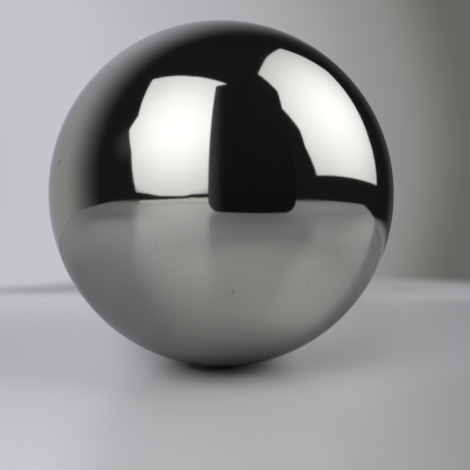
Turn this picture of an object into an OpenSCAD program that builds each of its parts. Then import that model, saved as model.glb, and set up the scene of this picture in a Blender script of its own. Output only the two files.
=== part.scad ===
// Polished steel ball, one solid piece of hardened steel, with one small nick in its surface.
// Sizes are in millimetres and angles in degrees. +Z is up, and the origin is the centre of
// the ball. A bearing runs round the ball from +X towards +Y, and -Y is the front.

/* [Ball] */
// Diameter of the ball
ball_d = 63.5; // [25.4:0.1:101.6]

/* [Nick] */
// Length of the nick along the surface
nick_length = 2.4; // [1.8:0.1:2.6]
// Width of the nick across its middle
nick_width = 0.8; // [0.4:0.05:1.2]
// Depth of the nick's middle below the true sphere
nick_depth = 0.08; // [0.07:0.01:0.15]
// Bearing of the nick's middle round the ball
nick_bearing = 216; // [0:1:359]
// Angle of the nick's middle above the ball's equator
nick_latitude = 10; // [-80:1:80]
// Angle that the nick's length rises from level, towards a higher bearing
nick_rise = 15; // [-90:1:90]

/* [Hidden] */

// Sides drawn round the ball, round the nick's rim and round the rim's own section
ball_sides = 200;
rim_sides = 200;
section_sides = 48;

ball_r = ball_d / 2;

// The nick is the mark of a hard rounded rim pressed into the ball. The rim has one radius
// along the nick and another across it, and each follows from half of the mark's size there.
rim_r = mark_radius(nick_length / 2);
rim_section_r = mark_radius(nick_width / 2);

// Radius of a round tool that leaves a mark of this half size, nick_depth deep, in the ball
function mark_radius(half_size) =
    half_size ^ 2 * ball_r / (2 * nick_depth * ball_r - half_size ^ 2);

// Ring with the rim's two radii, in the XY plane, its outer edge nick_depth inside the ball
module rim() {
    translate([ball_r - nick_depth + rim_r, 0, 0])
        rotate_extrude($fn = rim_sides)
            translate([rim_r - rim_section_r, 0])
                circle(r = rim_section_r, $fn = section_sides);
}

// Rim, turned to the nick's slope and then carried round to the nick's place on the ball
module nick() {
    rotate([0, -nick_latitude, nick_bearing])
        rotate([nick_rise, 0, 0])
            rim();
}

module ball() {
    color([0.58, 0.58, 0.57])
        difference() {
            sphere(r = ball_r, $fn = ball_sides);
            nick();
        }
}

ball();
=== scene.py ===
"""A polished steel ball on a plain pale floor, under plain soft studio light.

The ball is one piece of hardened steel with one nick and a few tiny pits in its
surface. It is a mirror, so the studio round it is part of how it looks: two
softboxes lean in over it, with a low glowing strip of painted light under the left
one and a black card between them, and dark cloth hangs above and round the front.

Lengths are in metres. The origin is the middle of the ball, +Z is up, and -Y is the
front. A bearing on the ball runs from +X towards +Y. A bearing in the studio runs
from the front towards +X.
"""

import logging
import math
from dataclasses import dataclass, field
from enum import Enum

import bpy
from mathutils import Euler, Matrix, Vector


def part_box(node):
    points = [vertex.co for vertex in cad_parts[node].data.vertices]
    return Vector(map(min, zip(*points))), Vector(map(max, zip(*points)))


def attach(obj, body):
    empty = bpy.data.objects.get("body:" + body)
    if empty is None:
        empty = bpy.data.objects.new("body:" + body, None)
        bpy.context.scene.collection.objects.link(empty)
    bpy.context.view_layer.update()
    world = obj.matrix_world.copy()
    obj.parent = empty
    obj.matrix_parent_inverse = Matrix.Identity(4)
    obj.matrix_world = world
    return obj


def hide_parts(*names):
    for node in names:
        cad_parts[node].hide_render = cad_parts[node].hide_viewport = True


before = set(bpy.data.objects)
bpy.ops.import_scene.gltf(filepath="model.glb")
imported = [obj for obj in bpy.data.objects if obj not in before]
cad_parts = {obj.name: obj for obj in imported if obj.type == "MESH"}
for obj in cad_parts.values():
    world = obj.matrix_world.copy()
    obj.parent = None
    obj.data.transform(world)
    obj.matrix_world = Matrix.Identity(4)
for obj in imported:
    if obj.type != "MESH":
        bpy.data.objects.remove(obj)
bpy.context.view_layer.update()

LOG = logging.getLogger("steel_ball")
MM = 0.001
AHEAD = (1.0, 0.0, 0.0)

Colour = tuple[float, float, float]
Point = tuple[float, float]
Socket = bpy.types.NodeSocket
Feed = Socket | float | str | tuple[float, ...]


class Rays(Enum):
    """Which kinds of ray meet a thing in the studio."""

    ALL = ("camera", "glossy", "diffuse", "shadow", "transmission")
    OFF_CAMERA = ("glossy", "diffuse", "shadow", "transmission")
    MIRRORS = ("glossy",)

    def admit(self, thing: bpy.types.Object) -> None:
        """Let only these rays meet the thing.

        Args:
            thing: a mesh object of the studio.
        """
        for kind in Rays.ALL.value:
            setattr(thing, f"visible_{kind}", kind in self.value)
        thing.visible_volume_scatter = False


@dataclass
class Wiring:
    """Puts nodes into one node tree and joins them.

    Attributes:
        tree: the node tree that the nodes go into.
    """

    tree: bpy.types.NodeTree

    def feed(self, socket: Socket, value: Feed) -> None:
        """Join an output to an input, or give the input its own value.

        Args:
            socket: the input.
            value: an output, or a plain value.
        """
        if isinstance(value, Socket):
            self.tree.links.new(value, socket)
        else:
            socket.default_value = value

    def add(
        self, kind: str, inputs: dict[str, Feed] | None = None, **settings: object
    ) -> bpy.types.Node:
        """Add one node.

        Args:
            kind: Blender's name of the node type.
            inputs: what goes into its inputs, by their names.
            **settings: properties of the node and their values.

        Returns:
            The new node.
        """
        node = self.tree.nodes.new(kind)
        for name, value in settings.items():
            setattr(node, name, value)
        for name, value in (inputs or {}).items():
            self.feed(node.inputs[name], value)
        return node

    def fill(self, kind: str, *values: Feed, **settings: object) -> bpy.types.Node:
        """Add one node, and fill its inputs in order.

        Args:
            kind: Blender's name of the node type.
            *values: what goes into its inputs.
            **settings: properties of the node and their values.

        Returns:
            The new node.
        """
        node = self.add(kind, **settings)
        for socket, value in zip(node.inputs, values):
            self.feed(socket, value)
        return node

    def math(self, operation: str, *values: Feed) -> Socket:
        """Add a Math node of this operation."""
        return self.fill("ShaderNodeMath", *values, operation=operation).outputs[0]

    def vector(
        self, operation: str, *values: Feed, scale: Feed | None = None
    ) -> Socket:
        """Add a Vector Math node.

        Args:
            operation: the node's operation.
            *values: what goes into its vector inputs, in order.
            scale: what goes into its Scale input, if it has one.

        Returns:
            The node's vector, or its number where the operation makes a number.
        """
        node = self.fill("ShaderNodeVectorMath", *values, operation=operation)
        if scale is not None:
            self.feed(node.inputs["Scale"], scale)
        number = operation in ("LENGTH", "DISTANCE", "DOT_PRODUCT")
        return node.outputs["Value" if number else "Vector"]

    def step(
        self, value: Feed, start: Feed, end: Feed, low: Feed = 0.0, high: Feed = 1.0
    ) -> Socket:
        """Add a smooth step from one value to another.

        Args:
            value: what is measured.
            start: where the step starts.
            end: where the step ends.
            low: the result before the start.
            high: the result after the end.

        Returns:
            The result, between low and high.
        """
        smooth = {"interpolation_type": "SMOOTHSTEP"}
        node = self.fill("ShaderNodeMapRange", value, start, end, low, high, **smooth)
        return node.outputs["Result"]

    def parts(self, vector: Feed) -> tuple[Socket, ...]:
        """Split a vector into its three numbers."""
        return tuple(self.fill("ShaderNodeSeparateXYZ", vector).outputs)

    def join(self, x: Feed, y: Feed, z: Feed) -> Socket:
        """Make a vector of three numbers."""
        return self.fill("ShaderNodeCombineXYZ", x, y, z).outputs[0]

    def mix(self, share: Feed, first: Feed, second: Feed) -> Socket:
        """Mix two shaders, with this share of the second one."""
        return self.fill("ShaderNodeMixShader", share, first, second).outputs[0]

    def show(self, shader: Socket, kind: str = "Material") -> None:
        """Make a shader the surface of the material, or of the World."""
        self.add(f"ShaderNodeOutput{kind}", {"Surface": shader})

    def blend(self, share: Feed, first: Feed, second: Feed) -> Socket:
        """Mix two colours.

        Args:
            share: the share of the second colour, from 0 to 1.
            first: the first colour.
            second: the second colour.

        Returns:
            The mixed colour.
        """
        # A Mix node has sockets for every kind of value. 6, 7 and 2 are for colours.
        node = self.add("ShaderNodeMix", data_type="RGBA")
        self.feed(node.inputs[0], share)
        self.feed(node.inputs[6], first)
        self.feed(node.inputs[7], second)
        return node.outputs[2]

    def noise(
        self, where: Feed, size: float, detail: float = 2.0, rough: float = 0.5
    ) -> Socket:
        """Add a noise pattern.

        Args:
            where: the coordinates that it follows.
            size: the size of its patches, in metres.
            detail: how many finer layers it has.
            rough: how strong the finer layers are.

        Returns:
            The pattern, round about 0.5.
        """
        node = self.add(
            "ShaderNodeTexNoise",
            {"Vector": where, "Scale": 1 / size, "Detail": detail, "Roughness": rough},
        )
        return node.outputs["Fac"]


def opaque(colour: Colour) -> tuple[float, float, float, float]:
    """Add full opacity to a colour."""
    return (*colour, 1.0)


def fresh_material(name: str) -> tuple[bpy.types.Material, Wiring]:
    """Make a material whose node tree is empty.

    Args:
        name: the material's name.

    Returns:
        The material, and the wiring of its tree.
    """
    material = bpy.data.materials.new(name)
    material.use_nodes = True
    material.node_tree.nodes.clear()
    return material, Wiring(material.node_tree)


@dataclass(frozen=True)
class PolishedSteel:
    """The mirror finish of a hardened, ground and lapped steel ball.

    Attributes:
        tone: how much of each colour the clean steel mirrors.
        cool_tone: the same where the steel is a little cooler.
        roughness: roughness of the clean lapped surface.
        haze: how much rougher the faint lapping haze is.
        smear: how much rougher a faint smear is.
        edge_tint: how much of the mirroring is left close to the ball's outline.
        nick_tone: the steel inside a nick or pit.
        nick_roughness: roughness inside a nick or pit.
        lapping: height of the very fine texture left by lapping.
        tearing: height of the torn texture inside a nick or pit.
        shade_size: size of the cooler patches.
        shade_edge: where they start and end in their pattern.
        haze_size: size of the haze's pattern.
        smear_size: size of the smears.
        smear_edge: where they start and end in their pattern.
        torn_size: size of the torn texture's pattern.
    """

    tone: Colour = (0.588, 0.588, 0.530)
    cool_tone: Colour = (0.564, 0.568, 0.520)
    roughness: float = 0.045
    haze: float = 0.014
    smear: float = 0.014
    edge_tint: Colour = (0.72, 0.73, 0.77)
    nick_tone: Colour = (0.42, 0.42, 0.41)
    nick_roughness: float = 0.30
    lapping: float = 0.00002 * MM
    tearing: float = 0.01 * MM
    shade_size: float = 26 * MM
    shade_edge: Point = (0.38, 0.62)
    haze_size: float = 1.6 * MM
    smear_size: float = 17 * MM
    smear_edge: Point = (0.50, 0.74)
    torn_size: float = 0.12 * MM

    def material(self) -> bpy.types.Material:
        """Make the finish.

        Returns:
            A material that reads Object coordinates and the "mark" attribute.
        """
        steel, wiring = fresh_material("polished_steel")
        where = wiring.add("ShaderNodeTexCoord").outputs["Object"]
        mark = wiring.add("ShaderNodeAttribute", attribute_name="mark").outputs["Fac"]

        shade = wiring.noise(where, self.shade_size, detail=3.0)
        shade = wiring.step(shade, *self.shade_edge)
        clean = wiring.blend(shade, opaque(self.tone), opaque(self.cool_tone))
        tone = wiring.blend(mark, clean, opaque(self.nick_tone))

        haze = wiring.noise(where, self.haze_size, detail=4.0, rough=0.6)
        smear = wiring.noise(where, self.smear_size, rough=0.4)
        smear = wiring.step(smear, *self.smear_edge)
        rough = wiring.math("MULTIPLY_ADD", haze, self.haze, self.roughness)
        rough = wiring.math("MULTIPLY_ADD", smear, self.smear, rough)
        into_nick = wiring.math("SUBTRACT", self.nick_roughness, rough)
        rough = wiring.math("MULTIPLY_ADD", mark, into_nick, rough)

        torn = wiring.math("MULTIPLY", wiring.noise(where, self.torn_size), mark)
        height = wiring.math("MULTIPLY", haze, self.lapping)
        height = wiring.math("MULTIPLY_ADD", torn, self.tearing, height)
        bump = wiring.add("ShaderNodeBump", {"Distance": 1.0, "Height": height})

        shader = wiring.add(
            "ShaderNodeBsdfPrincipled",
            {
                "Base Color": tone,
                "Metallic": 1.0,
                "Roughness": rough,
                "Specular Tint": opaque(self.edge_tint),
                "Normal": bump.outputs[0],
            },
        )
        wiring.show(shader.outputs[0])
        return steel


@dataclass(frozen=True)
class Nick:
    """The mark of a hard rounded rim that was once knocked against the ball.

    Attributes:
        length: its length along the surface.
        width: its width across its middle.
        depth: how far its middle lies below the true sphere.
        lip: how far its edge is rounded over.
        bearing: bearing of its middle round the ball, in degrees.
        latitude: angle of its middle above the equator, in degrees.
        rise: angle that its length rises from level, in degrees.
    """

    length: float = 2.4 * MM
    width: float = 0.8 * MM
    depth: float = 0.08 * MM
    lip: float = 0.028 * MM
    bearing: float = 216.0
    latitude: float = 10.0
    rise: float = 15.0


@dataclass(frozen=True)
class Pit:
    """A tiny round pit.

    Attributes:
        bearing: its bearing round the ball, in degrees.
        latitude: its angle above the equator, in degrees.
        width: its width.
        depth: its depth.
    """

    bearing: float
    latitude: float
    width: float = 0.45 * MM
    depth: float = 0.006 * MM


PITS = (
    Pit(294.4, -21.8),
    Pit(272.9, -23.9, width=0.6 * MM, depth=0.01 * MM),
    Pit(252.8, -40.0),
    Pit(249.5, -40.6, width=0.4 * MM),
    Pit(253.3, -11.8, width=0.4 * MM),
)


@dataclass
class Ball:
    """The ball itself, one closed surface made by Geometry Nodes.

    The surface starts as a cube of small squares, pushed out to the sphere. The
    squares crowd together round the nick and the pits, which are then pressed in.

    Attributes:
        diameter: the ball's diameter.
        nick: the nick.
        pits: the pits.
        squares: squares along each edge of the cube.
        crowding: how much smaller the squares are at the middle of a cube's side.
        nick_crowding: how far the squares crowd round the nick, in ball radii, and
            the size that they have left there.
        pit_crowding: the same round a pit.
        nick_marked: where a nick is marked as bare steel, as two shares of its depth.
        pit_marked: the same in a pit.
        pit_rim: how softly a pit's rim is rounded.
        finish: the steel's finish.
        inputs: the value of each of the tree's inputs, by the socket's identifier.
    """

    diameter: float
    nick: Nick = Nick()
    pits: tuple[Pit, ...] = PITS
    squares: int = 118
    crowding: float = 0.3
    nick_crowding: Point = (0.12, 0.42)
    pit_crowding: Point = (0.09, 0.2)
    nick_marked: Point = (0.05, 0.55)
    pit_marked: Point = (0.05, 0.9)
    pit_rim: float = 0.5
    finish: PolishedSteel = PolishedSteel()
    inputs: dict[str, object] = field(default_factory=dict, init=False)

    def ask(
        self, tree: bpy.types.NodeTree, name: str, kind: str, value: object
    ) -> None:
        """Give the tree a named input, and keep the value that it is set to.

        Args:
            tree: the node tree.
            name: the input's name.
            kind: the kind of socket, such as Float.
            value: the value for this ball.
        """
        item = tree.interface.new_socket(
            name, in_out="INPUT", socket_type=f"NodeSocket{kind}"
        )
        self.inputs[item.identifier] = value

    def crowd(
        self, wiring: Wiring, way: Feed, centre: Feed, reach: float, share: float
    ) -> Socket:
        """Slide directions towards a centre, most at the centre and not at the reach.

        Args:
            wiring: the tree's wiring.
            way: the direction of each point, of length 1.
            centre: the direction of the centre.
            reach: how far the crowding reaches, in ball radii.
            share: the size of a square at the centre beside its size without it.

        Returns:
            The new directions.
        """
        apart = wiring.vector("SUBTRACT", way, centre)
        near = wiring.math("DIVIDE", wiring.vector("LENGTH", apart), reach)
        fall = wiring.math("SUBTRACT", 1.0, wiring.math("MULTIPLY", near, near))
        fall = wiring.math("MAXIMUM", fall, 0.0)
        pull = wiring.math("MULTIPLY", wiring.math("MULTIPLY", fall, fall), share - 1)
        moved = wiring.vector("ADD", way, wiring.vector("SCALE", apart, scale=pull))
        return wiring.vector("NORMALIZE", moved)

    def turned(
        self, wiring: Wiring, vector: Feed, angles: tuple[Feed, Feed, Feed]
    ) -> Socket:
        """Turn a vector about X, then Y, then Z.

        Args:
            wiring: the tree's wiring.
            vector: the vector.
            angles: the three angles, in radians.

        Returns:
            The turned vector.
        """
        turn = wiring.fill("FunctionNodeEulerToRotation", wiring.join(*angles))
        inputs = {"Vector": vector, "Rotation": turn.outputs[0]}
        return wiring.add("FunctionNodeRotateVector", inputs).outputs[0]

    def sphere_way(self, wiring: Wiring, crowding: Feed) -> Socket:
        """Work out each point's direction from its place on the starting cube.

        Args:
            wiring: the tree's wiring.
            crowding: the size of a square at the middle of a cube's side.

        Returns:
            The direction, of length 1.
        """
        place = wiring.add("GeometryNodeInputPosition").outputs[0]
        cubed = wiring.vector(
            "MULTIPLY", wiring.vector("MULTIPLY", place, place), place
        )
        rest = wiring.math("SUBTRACT", 1.0, crowding)
        graded = wiring.vector(
            "ADD",
            wiring.vector("SCALE", place, scale=crowding),
            wiring.vector("SCALE", cubed, scale=rest),
        )
        angle = wiring.vector("SCALE", graded, scale=math.pi / 4)
        way = wiring.vector("NORMALIZE", wiring.vector("TANGENT", angle))
        return self.crowd(wiring, way, AHEAD, *self.nick_crowding)

    def mark_radius(
        self, wiring: Wiring, size: Feed, radius: Feed, depth: Feed
    ) -> Socket:
        """Work out the radius of a round tool from the mark that it leaves.

        Args:
            wiring: the tree's wiring.
            size: the mark's whole length or width.
            radius: the ball's radius.
            depth: the mark's depth.

        Returns:
            The tool's radius.
        """
        half = wiring.math("MULTIPLY", size, 0.5)
        square = wiring.math("MULTIPLY", half, half)
        deep = wiring.math("MULTIPLY", wiring.math("MULTIPLY", depth, radius), 2.0)
        return wiring.math(
            "DIVIDE",
            wiring.math("MULTIPLY", square, radius),
            wiring.math("SUBTRACT", deep, square),
        )

    def press_nick(
        self, wiring: Wiring, way: Feed, radius: Feed, given: bpy.types.Node
    ) -> tuple[Socket, Socket]:
        """Press the nick into the sphere, in the frame where it lies at +X.

        Args:
            wiring: the tree's wiring.
            way: the direction of each point.
            radius: the ball's radius.
            given: the group's input node.

        Returns:
            Each point's place, and how deep in the nick it is, from 0 to 1.
        """
        depth = given.outputs["Nick Depth"]
        rim = self.mark_radius(wiring, given.outputs["Nick Length"], radius, depth)
        wire = self.mark_radius(wiring, given.outputs["Nick Width"], radius, depth)
        x, y, z = wiring.parts(wiring.vector("SCALE", way, scale=radius))
        square = wiring.math("MULTIPLY", wire, wire)
        inside = wiring.math("SUBTRACT", square, wiring.math("MULTIPLY", z, z))
        across = wiring.math("SQRT", wiring.math("MAXIMUM", inside, 0.0))
        ring = wiring.math("ADD", wiring.math("SUBTRACT", rim, wire), across)
        square = wiring.math("MULTIPLY", ring, ring)
        inside = wiring.math("SUBTRACT", square, wiring.math("MULTIPLY", y, y))
        along = wiring.math("SQRT", wiring.math("MAXIMUM", inside, 0.0))
        middle = wiring.math("ADD", wiring.math("SUBTRACT", radius, depth), rim)
        tool = wiring.math("SUBTRACT", middle, along)
        pressed = wiring.math("SMOOTH_MIN", x, tool, given.outputs["Nick Lip"])
        sunk = wiring.math("DIVIDE", wiring.math("SUBTRACT", x, pressed), depth)
        return wiring.join(pressed, y, z), wiring.step(sunk, *self.nick_marked)

    def press_pit(
        self, wiring: Wiring, place: Feed, radius: Feed, given: bpy.types.Node, name: str
    ) -> tuple[Socket, Socket]:
        """Press one pit into the surface.

        Args:
            wiring: the tree's wiring.
            place: each point's place so far.
            radius: the ball's radius.
            given: the group's input node.
            name: the pit's name in the tree's inputs.

        Returns:
            Each point's new place, and how deep in the pit it is, from 0 to 1.
        """
        width, depth = given.outputs[f"{name} Width"], given.outputs[f"{name} Depth"]
        dip = wiring.math("MULTIPLY", given.outputs[f"{name} Latitude"], -1.0)
        bearing = given.outputs[f"{name} Bearing"]
        centre = self.turned(wiring, AHEAD, (0.0, dip, bearing))
        far = wiring.vector("LENGTH", place)
        way = wiring.vector("NORMALIZE", place)
        way = self.crowd(wiring, way, centre, *self.pit_crowding)
        off = wiring.vector("DISTANCE", way, centre)
        off = wiring.math("MULTIPLY", off, wiring.math("MULTIPLY", radius, 2.0))
        near = wiring.math("DIVIDE", off, width)
        cap = wiring.math("SUBTRACT", 1.0, wiring.math("MULTIPLY", near, near))
        cap = wiring.math("SMOOTH_MAX", cap, 0.0, self.pit_rim)
        low = wiring.math("MULTIPLY", cap, depth)
        place = wiring.vector("SCALE", way, scale=wiring.math("SUBTRACT", far, low))
        return place, wiring.step(cap, *self.pit_marked)

    def surface_tree(self) -> bpy.types.NodeTree:
        """Build the Geometry Nodes tree that makes the ball.

        Returns:
            The tree, with its sizes as named inputs.
        """
        tree = bpy.data.node_groups.new("ball_surface", "GeometryNodeTree")
        tree.is_modifier = True
        tree.interface.new_socket(
            "Geometry", in_out="OUTPUT", socket_type="NodeSocketGeometry"
        )
        sizes = {
            "Diameter": self.diameter,
            "Crowding": self.crowding,
            "Nick Length": self.nick.length,
            "Nick Width": self.nick.width,
            "Nick Depth": self.nick.depth,
            "Nick Lip": self.nick.lip,
            "Nick Bearing": math.radians(self.nick.bearing),
            "Nick Latitude": math.radians(self.nick.latitude),
            "Nick Rise": math.radians(self.nick.rise),
        }
        names = [f"Pit {number}" for number in range(1, len(self.pits) + 1)]
        for name, pit in zip(names, self.pits):
            sizes[f"{name} Bearing"] = math.radians(pit.bearing)
            sizes[f"{name} Latitude"] = math.radians(pit.latitude)
            sizes[f"{name} Width"] = pit.width
            sizes[f"{name} Depth"] = pit.depth
        for name, size in sizes.items():
            self.ask(tree, name, "Float", size)
        self.ask(tree, "Squares", "Int", self.squares)
        self.ask(tree, "Steel", "Material", self.finish.material())

        wiring = Wiring(tree)
        given = wiring.add("NodeGroupInput")
        radius = wiring.math("MULTIPLY", given.outputs["Diameter"], 0.5)
        corners = wiring.math("ADD", given.outputs["Squares"], 1.0)
        inputs = {f"Vertices {axis}": corners for axis in "XYZ"}
        inputs["Size"] = (2.0, 2.0, 2.0)
        cube = wiring.add("GeometryNodeMeshCube", inputs)

        way = self.sphere_way(wiring, given.outputs["Crowding"])
        place, mark = self.press_nick(wiring, way, radius, given)
        dip = wiring.math("MULTIPLY", given.outputs["Nick Latitude"], -1.0)
        turn = (given.outputs["Nick Rise"], dip, given.outputs["Nick Bearing"])
        place = self.turned(wiring, place, turn)
        for name in names:
            place, pitted = self.press_pit(wiring, place, radius, given, name)
            mark = wiring.math("MAXIMUM", mark, pitted)

        solid = wiring.add(
            "GeometryNodeStoreNamedAttribute",
            {"Geometry": cube.outputs["Mesh"], "Name": "mark", "Value": mark},
        )
        solid = wiring.add(
            "GeometryNodeStoreNamedAttribute",
            {
                "Geometry": solid.outputs[0],
                "Name": "OFBake",
                "Value": cube.outputs["UV Map"],
            },
            data_type="FLOAT2",
            domain="CORNER",
        )
        solid = wiring.add(
            "GeometryNodeSetPosition",
            {"Geometry": solid.outputs[0], "Position": place},
        )
        solid = wiring.fill("GeometryNodeSetShadeSmooth", solid.outputs[0])
        solid = wiring.fill("GeometryNodeRealizeInstances", solid.outputs[0])
        solid = wiring.add(
            "GeometryNodeSetMaterial",
            {"Geometry": solid.outputs[0], "Material": given.outputs["Steel"]},
        )
        wiring.fill("NodeGroupOutput", solid.outputs[0])
        return tree

    def build(self) -> bpy.types.Object:
        """Make the ball as a plain mesh, and tie it to the frame.

        Returns:
            The ball's object.
        """
        tree = self.surface_tree()
        piece = bpy.data.objects.new("polished_ball", bpy.data.meshes.new("seed"))
        bpy.context.scene.collection.objects.link(piece)
        modifier = piece.modifiers.new("surface", "NODES")
        modifier.node_group = tree
        for identifier, value in self.inputs.items():
            modifier[identifier] = value
        graph = bpy.context.evaluated_depsgraph_get()
        shape = bpy.data.meshes.new_from_object(
            piece.evaluated_get(graph), depsgraph=graph
        )
        piece.modifiers.remove(modifier)
        steel = next(finish for finish in shape.materials if finish)
        shape.materials.clear()
        shape.materials.append(steel)
        piece.data = shape
        shape.name = piece.name
        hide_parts("ball")
        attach(piece, "root")
        return piece


def set_up(
    name: str,
    corners: list[Vector],
    faces: list[tuple[int, ...]],
    material: bpy.types.Material,
    rays: Rays,
) -> bpy.types.Object:
    """Make a thing of the studio from flat faces, and put it in the scene.

    Args:
        name: its name.
        corners: its corners.
        faces: its faces, as the numbers of their corners.
        material: what it is covered with.
        rays: which rays meet it.

    Returns:
        The thing's object.
    """
    mesh = bpy.data.meshes.new(name)
    mesh.from_pydata(corners, [], faces)
    mesh.materials.append(material)
    thing = bpy.data.objects.new(name, mesh)
    bpy.context.scene.collection.objects.link(thing)
    rays.admit(thing)
    return thing


@dataclass(frozen=True)
class DiffuserCloth:
    """The glowing front cloth of a softbox, brightest opposite its lamp.

    It shows in mirrors only, and matt surfaces get no light from it.

    Attributes:
        name: the cloth's name.
        tone: the colour of the light.
        bright: how bright it is opposite the lamp.
        dim: how bright it is far from the lamp.
        lamp: the point opposite the lamp, in metres across and up.
        spread: how far across and up from that point the cloth is dim, in metres.
        even: the share of that spread where it is brightest.
        corners: where the cloth gets dimmer again towards its corners, as two shares
            of the spread.
        corner_share: the share of the light left past there.
    """

    name: str
    tone: Colour
    bright: float
    dim: float
    lamp: Point
    spread: Point
    even: float = 0.05
    corners: Point = (0.9, 1.12)
    corner_share: float = 0.4

    def material(self) -> bpy.types.Material:
        """Make the cloth.

        Returns:
            A material that glows on both sides and reads the panel's UV map.
        """
        cloth, wiring = fresh_material(self.name)
        where = wiring.add("ShaderNodeUVMap", uv_map="across_up").outputs[0]
        off = wiring.vector("SUBTRACT", where, (*self.lamp, 0.0))
        off = wiring.vector("DIVIDE", off, (*self.spread, 1.0))
        off = wiring.vector("LENGTH", off)
        glow = wiring.step(off, self.even, 1.0, self.bright, self.dim)
        corner = wiring.step(off, *self.corners, 1.0, self.corner_share)
        glow = wiring.math("MULTIPLY", glow, corner)
        bounced = wiring.add("ShaderNodeLightPath").outputs["Diffuse Depth"]
        glow = wiring.math("MULTIPLY", glow, wiring.step(bounced, 0.0, 1.0, 1.0, 0.0))
        light = wiring.fill("ShaderNodeEmission", opaque(self.tone), glow)
        wiring.show(light.outputs[0])
        return cloth


@dataclass(frozen=True)
class BlackCard:
    """Matt black card, with a painted sheen along its left edge, where it glows faintly.

    Attributes:
        tone: its colour.
        roughness: how matt it is.
        gloss: how strong its gloss is, where 0.5 is usual.
        painted_sheen_tone: the colour of the painted sheen, a faint glow.
        painted_sheen: how bright the painted sheen glows at the edge.
        painted_sheen_edge: where the painted sheen starts and ends, in metres across.
    """

    tone: Colour = (0.0018, 0.0028, 0.0040)
    roughness: float = 0.8
    gloss: float = 0.15
    painted_sheen_tone: Colour = (0.95, 1.0, 1.0)
    painted_sheen: float = 0.060
    painted_sheen_edge: Point = (-0.110, -0.068)

    def material(self) -> bpy.types.Material:
        """Make the card's finish.

        Returns:
            A material that reads the panel's UV map.
        """
        card, wiring = fresh_material("black_card")
        where = wiring.add("ShaderNodeUVMap", uv_map="across_up").outputs[0]
        across, _, _ = wiring.parts(where)
        # Painted sheen: the card glows faintly along its left edge, a painted reflection.
        painted_sheen = wiring.step(across, *self.painted_sheen_edge, self.painted_sheen, 0.0)
        shader = wiring.add(
            "ShaderNodeBsdfPrincipled",
            {
                "Base Color": opaque(self.tone),
                "Roughness": self.roughness,
                "Specular IOR Level": self.gloss,
                "Emission Color": opaque(self.painted_sheen_tone),
                "Emission Strength": painted_sheen,
            },
        )
        wiring.show(shader.outputs[0])
        return card


@dataclass(frozen=True)
class Panel:
    """A flat panel of the studio that stands round the ball.

    Attributes:
        name: its name.
        bearing: the bearing that it stands at, in degrees.
        distance: its level distance from the ball's middle.
        lean: how far its top leans in over the ball, in degrees.
        outline: its corners, as metres across to the right and up.
        finish: what it is covered with.
        rays: which rays meet it.
    """

    name: str
    bearing: float
    distance: float
    lean: float
    outline: tuple[Point, ...]
    finish: DiffuserCloth | BlackCard
    rays: Rays = Rays.MIRRORS

    def place(self, across: float, up: float) -> Vector:
        """Find a point of the panel in the studio.

        Args:
            across: metres to the right, seen from the ball.
            up: metres up along the panel.

        Returns:
            The point.
        """
        flat = Vector((across, -self.distance, 0.0))
        tilt = math.radians(self.lean)
        flat += Vector((0.0, math.sin(tilt), math.cos(tilt))) * up
        flat.rotate(Euler((0.0, 0.0, math.radians(self.bearing))))
        return flat

    def build(self) -> bpy.types.Object:
        """Make the panel.

        Returns:
            The panel's object, with metres across and up as its UV map.
        """
        corners = [self.place(*point) for point in self.outline]
        whole = tuple(range(len(corners)))
        panel = set_up(self.name, corners, [whole], self.finish.material(), self.rays)
        uv = panel.data.uv_layers.new(name="across_up")
        for loop in panel.data.loops:
            uv.data[loop.index].uv = self.outline[loop.vertex_index]
        return panel


@dataclass(frozen=True)
class SoftLamp:
    """A wide soft lamp, which lights everything but doesn't show in mirrors.

    Attributes:
        name: its name.
        bearing: the bearing that it hangs at, in degrees.
        height: its angle above level, seen from the ball, in degrees.
        distance: its distance from the ball's middle.
        size: its width and height.
        watts: its power.
        colour: its colour.
    """

    name: str
    bearing: float
    height: float
    distance: float
    size: Point
    watts: float
    colour: Colour = (0.98, 0.99, 1.0)

    def build(self) -> bpy.types.Object:
        """Hang the lamp, turned to the ball.

        Returns:
            The lamp.
        """
        light = bpy.data.lights.new(self.name, "AREA")
        light.shape = "RECTANGLE"
        light.size, light.size_y = self.size
        light.energy = self.watts
        light.color = self.colour
        lamp = bpy.data.objects.new(self.name, light)
        turn = Euler((math.radians(90 - self.height), 0.0, math.radians(self.bearing)))
        outward = Vector((0.0, 0.0, self.distance))
        outward.rotate(turn)
        lamp.location = outward
        lamp.rotation_euler = turn
        lamp.visible_camera = False
        lamp.visible_glossy = False
        bpy.context.scene.collection.objects.link(lamp)
        return lamp


def rounded(
    low: Point, high: Point, radii: Point, steps: int = 6
) -> tuple[Point, ...]:
    """Draw a rectangle with rounded corners.

    Args:
        low: its left lower corner.
        high: its right upper corner.
        radii: radius of its lower corners, and of its upper ones.
        steps: straight pieces in each corner.

    Returns:
        The outline's points.
    """
    points = []
    sides = ((1, 0), (1, 1), (0, 1), (0, 0))
    for quarter, (right, top) in enumerate(sides):
        radius = radii[top]
        middle_x = high[0] - radius if right else low[0] + radius
        middle_y = high[1] - radius if top else low[1] + radius
        for step in range(steps + 1):
            angle = math.pi / 2 * (quarter - 1 + step / steps)
            points.append(
                (
                    middle_x + radius * math.cos(angle),
                    middle_y + radius * math.sin(angle),
                )
            )
    return tuple(points)


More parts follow.
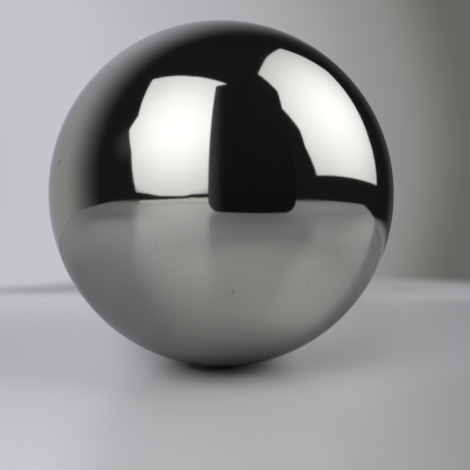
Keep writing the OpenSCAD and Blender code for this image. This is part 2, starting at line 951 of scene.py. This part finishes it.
PANELS = (
    Panel(
        "left_softbox",
        bearing=-28.2,
        distance=0.9,
        lean=42.2,
        outline=(
            (-0.370, 0.070),
            (-0.235, 0.050),
            (-0.130, 0.027),
            (0.100, 0.027),
            (0.210, 0.050),
            (0.366, 0.060),
            (0.366, 0.995),
            (-0.366, 0.995),
            (-0.342, 0.675),
            (-0.402, 0.582),
            (-0.362, 0.415),
        ),
        finish=DiffuserCloth(
            "left_diffuser",
            tone=(1.0, 0.995, 1.07),
            bright=1.76,
            dim=1.02,
            lamp=(-0.03, 0.57),
            spread=(0.55, 0.58),
        ),
    ),
    # The sill is no lamp: its glowing strip is painted light, standing in for a lit pale sill.
    Panel(
        "sill",
        bearing=-28.2,
        distance=0.7,
        lean=0.0,
        outline=((-0.27, -0.03), (0.285, -0.03), (0.285, 0.006), (-0.27, -0.017)),
        finish=DiffuserCloth(
            "glowing_sill",
            tone=(1.0, 0.995, 0.96),
            bright=0.68,
            dim=0.66,
            lamp=(0.0, 0.0),
            spread=(0.3, 0.3),
        ),
    ),
    Panel(
        "right_softbox",
        bearing=79.3,
        distance=0.9,
        lean=34.9,
        outline=(
            (-0.300, 0.210),
            (-0.142, 0.190),
            (0.232, 0.132),
            (0.525, 0.095),
            (0.495, 0.38),
            (0.525, 0.55),
            (0.590, 0.80),
            (0.465, 1.105),
            (0.176, 1.120),
            (-0.090, 1.088),
            (-0.150, 0.87),
            (-0.258, 0.755),
            (-0.260, 0.56),
            (-0.300, 0.44),
        ),
        finish=DiffuserCloth(
            "right_diffuser",
            tone=(0.99, 1.0, 1.035),
            bright=1.78,
            dim=0.88,
            lamp=(0.14, 0.56),
            spread=(0.75, 0.65),
        ),
    ),
    Panel(
        "black_card",
        bearing=18.0,
        distance=0.22,
        lean=0.0,
        outline=rounded((-0.107, -0.031), (0.094, 0.585), (0.028, 0.008)),
        finish=BlackCard(),
        rays=Rays.OFF_CAMERA,
    ),
)

LAMPS = (
    SoftLamp("left_lamp", bearing=-28.0, height=40.0, distance=0.85, size=(0.5, 0.42), watts=4.7),
    SoftLamp("right_lamp", bearing=82.0, height=38.0, distance=0.9, size=(0.8, 0.4), watts=4.05),
    SoftLamp("front_lamp", bearing=50.0, height=30.0, distance=0.9, size=(0.5, 0.4), watts=2.8),
)


@dataclass
class DarkTent:
    """Dark cloth round the studio, with one wide, round, soft opening at the back.

    Attributes:
        radius: how far it hangs from the ball.
        rings: rings of squares in it, from bottom to top.
        sides: squares in each ring.
        tone: how bright the cloth looks.
        opening: bearing and height of the opening's middle, in degrees.
        edge: where the opening ends, as two angles from its middle, in degrees.
        hem: where the cloth ends at the floor, as two heights, in degrees.
        spill: bearing and height of the left softbox's spill on it, in degrees.
        spill_edge: where the spill ends, as two angles from its middle, in degrees.
        spill_share: how many times brighter the cloth is in the spill.
    """

    radius: float = 2.4
    rings: int = 24
    sides: int = 48
    tone: Colour = (0.0120, 0.0126, 0.0128)
    opening: Point = (-154.5, -9.0)
    edge: Point = (42.0, 78.3)
    hem: Point = (-9.0, -6.0)
    spill: Point = (-64.0, 28.0)
    spill_edge: Point = (1.0, 12.0)
    spill_share: float = 4.2

    def angle_from(self, wiring: Wiring, way: Feed, spot: Point) -> Socket:
        """Measure how far each direction lies from a spot on the tent.

        Args:
            wiring: the material's wiring.
            way: the direction of each point, of length 1.
            spot: the spot's bearing and height, in degrees.

        Returns:
            The angle, in degrees.
        """
        bearing, height = (math.radians(angle) for angle in spot)
        middle = Vector((0.0, -math.cos(height), math.sin(height)))
        middle.rotate(Euler((0.0, 0.0, bearing)))
        angle = wiring.math("ARCCOSINE", wiring.vector("DOT_PRODUCT", way, middle))
        return wiring.math("DEGREES", angle)

    def material(self) -> bpy.types.Material:
        """Make the cloth.

        Returns:
            A material that is clear where the tent is open.
        """
        cloth, wiring = fresh_material("dark_cloth")
        where = wiring.add("ShaderNodeTexCoord").outputs["Object"]
        way = wiring.vector("NORMALIZE", where)
        cover = wiring.step(self.angle_from(wiring, way, self.opening), *self.edge)
        _, _, z = wiring.parts(way)
        height = wiring.math("DEGREES", wiring.math("ARCSINE", z))
        cover = wiring.math("MULTIPLY", cover, wiring.step(height, *self.hem))
        clear = wiring.add("ShaderNodeBsdfTransparent")
        off = self.angle_from(wiring, way, self.spill)
        spilt = wiring.step(off, *self.spill_edge, self.spill_share, 1.0)
        dark = wiring.fill("ShaderNodeEmission", opaque(self.tone), spilt)
        wiring.show(wiring.mix(cover, clear.outputs[0], dark.outputs[0]))
        return cloth

    def build(self) -> bpy.types.Object:
        """Hang the tent, which the camera doesn't see.

        Returns:
            The tent's object.
        """
        points, faces = [], []
        for ring in range(self.rings + 1):
            height = math.pi * (ring / self.rings - 0.5)
            for side in range(self.sides):
                turn = 2 * math.pi * side / self.sides
                point = Vector((math.cos(height), 0.0, math.sin(height)))
                point.rotate(Euler((0.0, 0.0, turn)))
                points.append(point * self.radius)
        for ring in range(self.rings):
            low, high = ring * self.sides, (ring + 1) * self.sides
            for side in range(self.sides):
                after = (side + 1) % self.sides
                faces.append((low + side, low + after, high + after, high + side))
        return set_up("dark_tent", points, faces, self.material(), Rays.OFF_CAMERA)


@dataclass
class StudioFloor:
    """The plain pale sheet that the ball stands on, wider towards the front.

    Attributes:
        level: its height under the ball.
        rows: lines across it from back to front, each as the distance towards +Y,
            the left end and the right end.
        back_edge: where it fades out behind the ball, as two distances.
        fall: how much painted shade darkens it to the right of the ball.
        painted_shade_edge: where the painted shade comes in, as two distances towards
            +X.
        painted_shade_slant: how far those two distances move towards -X, for each metre
            towards +Y.
        painted_shade_back: where the painted shade stops at the back, as two distances.
        tone: its colour.
        fleck: how much darker its faint flecks are.
        fleck_size: their size.
        fleck_roughness: how much more matt they are.
        roughness: how matt its gloss is.
        chalkiness: how evenly it scatters light, from 0 to 1.
        gloss: its refractive index, which sets how strong the gloss is.
        mirrored_gloss: the same where the sheet shows in the ball.
        mirrored_painted_shade: painted shade where the sheet shows in the ball, as the
            share of its colour left there.
        painted_patches: painted shade and painted light where the sheet shows in the
            ball, such as the ball's contact shadow and the card's shadow at its foot,
            each as its middle across and towards +Y, the distances from there where it
            starts and stops to fade, and the share of its colour left at its middle.
    """

    level: float
    rows: tuple[tuple[float, float, float], ...] = (
        (0.08, -0.33, 0.45),
        (0.04, -0.35, 0.70),
        (-0.40, -1.0, 1.12),
        (-1.50, -2.1, 2.3),
    )
    back_edge: Point = (0.056, 0.073)
    fall: float = 0.28
    painted_shade_edge: Point = (0.025, 0.065)
    painted_shade_slant: float = -0.4
    painted_shade_back: Point = (0.045, 0.056)
    tone: Colour = (0.500, 0.503, 0.515)
    fleck: float = 0.04
    fleck_size: float = 30 * MM
    fleck_roughness: float = 0.03
    roughness: float = 0.23
    chalkiness: float = 1.0
    gloss: float = 2.1
    mirrored_gloss: float = 1.55
    mirrored_painted_shade: float = 0.64
    painted_patches: tuple[tuple[float, float, float, float, float], ...] = (
        (0.004, -0.012, 0.001, 0.021, 0.40),
        (0.016, -0.043, 0.0, 0.055, 2.00),
        (-0.015, -0.033, 0.004, 0.030, 0.82),
        (0.05, -0.17, 0.02, 0.11, 0.70),
        (0.10, -0.03, 0.02, 0.075, 0.76),
        (-0.125, -0.06, 0.01, 0.09, 1.42),
    )

    def material(self) -> bpy.types.Material:
        """Make the sheet.

        Returns:
            A material that is clear past the sheet's back edge.
        """
        sheet, wiring = fresh_material("pale_sheet")
        where = wiring.add("ShaderNodeTexCoord").outputs["Object"]
        x, y, _ = wiring.parts(where)
        fleck = wiring.noise(where, self.fleck_size, detail=4.0)
        darker = tuple(value * (1 - self.fleck) for value in self.tone)
        tone = wiring.blend(fleck, opaque(self.tone), opaque(darker))
        in_mirror = wiring.add("ShaderNodeLightPath").outputs["Is Glossy Ray"]
        # Painted shade and painted light, only where the sheet shows in the ball: darker overall,
        # darkest at the ball's contact and at the card's foot, lighter in a few pools.
        share = self.mirrored_painted_shade
        for across, along, start, stop, left in self.painted_patches:
            off = wiring.vector("DISTANCE", where, (across, along, self.level))
            patch = wiring.step(off, start, stop, left, 1.0)
            share = wiring.math("MULTIPLY", share, patch)
        shaded = wiring.vector("SCALE", tone, scale=share)
        # Painted shade: the sheet is darker to the right of the ball, fading out at the back.
        right = wiring.math("MULTIPLY_ADD", y, self.painted_shade_slant, x)
        fall = wiring.step(right, *self.painted_shade_edge, 0.0, self.fall)
        fall = wiring.math("MULTIPLY", fall, wiring.step(y, *self.painted_shade_back, 1.0, 0.0))
        tone = wiring.vector("SCALE", tone, scale=wiring.math("SUBTRACT", 1.0, fall))
        tone = wiring.blend(in_mirror, tone, shaded)
        gloss = wiring.step(in_mirror, 0.0, 1.0, self.gloss, self.mirrored_gloss)
        rough = wiring.math("MULTIPLY_ADD", fleck, self.fleck_roughness, self.roughness)
        surface = wiring.add(
            "ShaderNodeBsdfPrincipled",
            {
                "Base Color": tone,
                "Roughness": rough,
                "IOR": gloss,
                "Diffuse Roughness": self.chalkiness,
            },
        )
        clear = wiring.add("ShaderNodeBsdfTransparent")
        past = wiring.step(y, *self.back_edge)
        wiring.show(wiring.mix(past, surface.outputs[0], clear.outputs[0]))
        return sheet

    def build(self) -> bpy.types.Object:
        """Lay the floor.

        Returns:
            The floor's object.
        """
        corners, faces = [], []
        for row, (y, left, right) in enumerate(self.rows):
            corners += [Vector((x, y, self.level)) for x in (left, right)]
            if row:
                start = 2 * row
                faces.append((start, start + 1, start - 1, start - 2))
        return set_up("floor", corners, faces, self.material(), Rays.ALL)


@dataclass
class Backdrop:
    """The plain backdrop all round, and the even light of the room.

    Attributes:
        bands: angle from the back towards +X in degrees, and the colour there.
        bow: how far the bands bow towards the left above and below their middle,
            in degrees for each square degree.
        bow_middle: the height of their middle, in degrees.
        bow_limit: the most that they bow, in degrees.
        ground: the colour below the floor's edge.
        ground_edge: where that colour ends, as two heights, in degrees.
        ground_tilt: how much higher it ends at the right, in degrees for each metre
            across at a distance of one metre.
        level: how strongly the room lights what isn't a mirror.
    """

    bands: tuple[tuple[float, Colour], ...] = (
        (-180.0, (0.440, 0.440, 0.450)),
        (-130.0, (0.300, 0.300, 0.310)),
        (-100.0, (0.250, 0.250, 0.260)),
        (-75.0, (0.340, 0.340, 0.350)),
        (-50.0, (0.450, 0.450, 0.465)),
        (-35.0, (0.460, 0.460, 0.485)),
        (-24.0, (0.560, 0.560, 0.610)),
        (-15.0, (0.560, 0.560, 0.610)),
        (-9.0, (0.510, 0.510, 0.540)),
        (1.0, (0.450, 0.450, 0.470)),
        (8.0, (0.418, 0.418, 0.435)),
        (14.0, (0.341, 0.341, 0.352)),
        (18.0, (0.292, 0.292, 0.292)),
        (22.0, (0.259, 0.259, 0.248)),
        (25.0, (0.165, 0.165, 0.155)),
        (28.0, (0.120, 0.120, 0.112)),
        (38.0, (0.140, 0.140, 0.140)),
        (70.0, (0.400, 0.400, 0.410)),
        (180.0, (0.440, 0.440, 0.450)),
    )
    bow: float = 0.012
    bow_middle: float = 4.0
    bow_limit: float = 5.0
    ground: Colour = (0.335, 0.335, 0.350)
    ground_edge: Point = (-10.1, -8.8)
    ground_tilt: float = 0.6
    level: float = 8.1

    def build(self) -> bpy.types.World:
        """Set up the world.

        Returns:
            The scene's world.
        """
        world = bpy.data.worlds.new("backdrop")
        world.use_nodes = True
        world.node_tree.nodes.clear()
        wiring = Wiring(world.node_tree)
        where = wiring.add("ShaderNodeTexCoord").outputs["Generated"]
        x, y, z = wiring.parts(where)
        turn = wiring.math("DIVIDE", wiring.math("ARCTAN2", x, y), 2 * math.pi)
        height = wiring.math("DEGREES", wiring.math("ARCSINE", z))
        off = wiring.math("SUBTRACT", height, self.bow_middle)
        bow = wiring.math("MULTIPLY", wiring.math("MULTIPLY", off, off), self.bow)
        bow = wiring.math("MINIMUM", bow, self.bow_limit)
        bow = wiring.math("DIVIDE", bow, 360.0)
        turn = wiring.math("ADD", turn, bow)
        ramp = wiring.add("ShaderNodeValToRGB")
        wiring.feed(ramp.inputs[0], wiring.math("ADD", turn, 0.5))
        ramp.color_ramp.interpolation = "B_SPLINE"
        stops = ramp.color_ramp.elements
        stops.remove(stops[1])
        for number, (angle, colour) in enumerate(self.bands):
            spot = angle / 360 + 0.5
            stop = stops.new(spot) if number else stops[0]
            stop.position, stop.color = spot, opaque(colour)
        tilted = wiring.math("MULTIPLY_ADD", x, -self.ground_tilt, height)
        below = wiring.step(tilted, *self.ground_edge, 1.0, 0.0)
        wall = wiring.blend(below, ramp.outputs[0], opaque(self.ground))
        shown = wiring.fill("ShaderNodeBackground", wall, 1.0)
        light = wiring.fill("ShaderNodeBackground", wall, self.level)
        path = wiring.add("ShaderNodeLightPath").outputs
        seen = wiring.math("MAXIMUM", path["Is Camera Ray"], path["Is Glossy Ray"])
        seen = wiring.math("MAXIMUM", seen, path["Is Transmission Ray"])
        wiring.show(wiring.mix(seen, light.outputs[0], shown.outputs[0]), "World")
        bpy.context.scene.world = world
        return world


@dataclass
class Studio:
    """Everything round the ball that lights it or shows in it.

    Attributes:
        radius: the ball's radius, which sets the floor's level.
        panels: the softboxes, the strip and the card.
        lamps: the lamps.
    """

    radius: float
    panels: tuple[Panel, ...] = PANELS
    lamps: tuple[SoftLamp, ...] = LAMPS

    def build(self) -> list[bpy.types.ID]:
        """Put up the whole studio.

        Returns:
            Its parts.
        """
        return [
            StudioFloor(level=-self.radius).build(),
            Backdrop().build(),
            *(panel.build() for panel in self.panels),
            DarkTent().build(),
            *(lamp.build() for lamp in self.lamps),
        ]


@dataclass
class StudioCamera:
    """The camera, level with the ball's middle and close in front of it.

    Attributes:
        radius: the ball's radius.
        sensor: width of its sensor, in millimetres.
        lens: its focal length, in millimetres.
        distance: distance from the ball's middle, in ball radii.
        yaw: how far it is turned towards +X, in degrees.
        pitch: how far it is tilted up, in degrees.
        reach: the nearest and the farthest that it sees.
    """

    radius: float
    sensor: float = 36.0
    lens: float = 36.38
    distance: float = 2.934
    yaw: float = 1.476
    pitch: float = -4.433
    reach: Point = (0.005, 20.0)

    def build(self) -> bpy.types.Object:
        """Set up the camera and make it the scene's own.

        Returns:
            The camera.
        """
        data = bpy.data.cameras.new("camera")
        data.sensor_width = self.sensor
        data.lens = self.lens
        data.clip_start, data.clip_end = self.reach
        camera = bpy.data.objects.new("camera", data)
        camera.location = (0.0, -self.distance * self.radius, 0.0)
        camera.rotation_euler = (
            math.radians(90 + self.pitch),
            0.0,
            math.radians(-self.yaw),
        )
        scene = bpy.context.scene
        scene.collection.objects.link(camera)
        scene.camera = camera
        scene.view_settings.view_transform = "Standard"
        return camera


def main() -> None:
    """Build the camera, the ball and the studio, in that order."""
    logging.basicConfig(level=logging.INFO, format="%(name)s: %(message)s")
    low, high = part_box("ball")
    diameter = high[2] - low[2]
    LOG.info("camera: %s", StudioCamera(radius=diameter / 2).build().name)
    ball = Ball(diameter=diameter).build()
    LOG.info("%s: %d faces", ball.name, len(ball.data.polygons))
    for part in Studio(radius=diameter / 2).build():
        LOG.info("studio: %s", part.name)


if __name__ == "__main__":
    main()
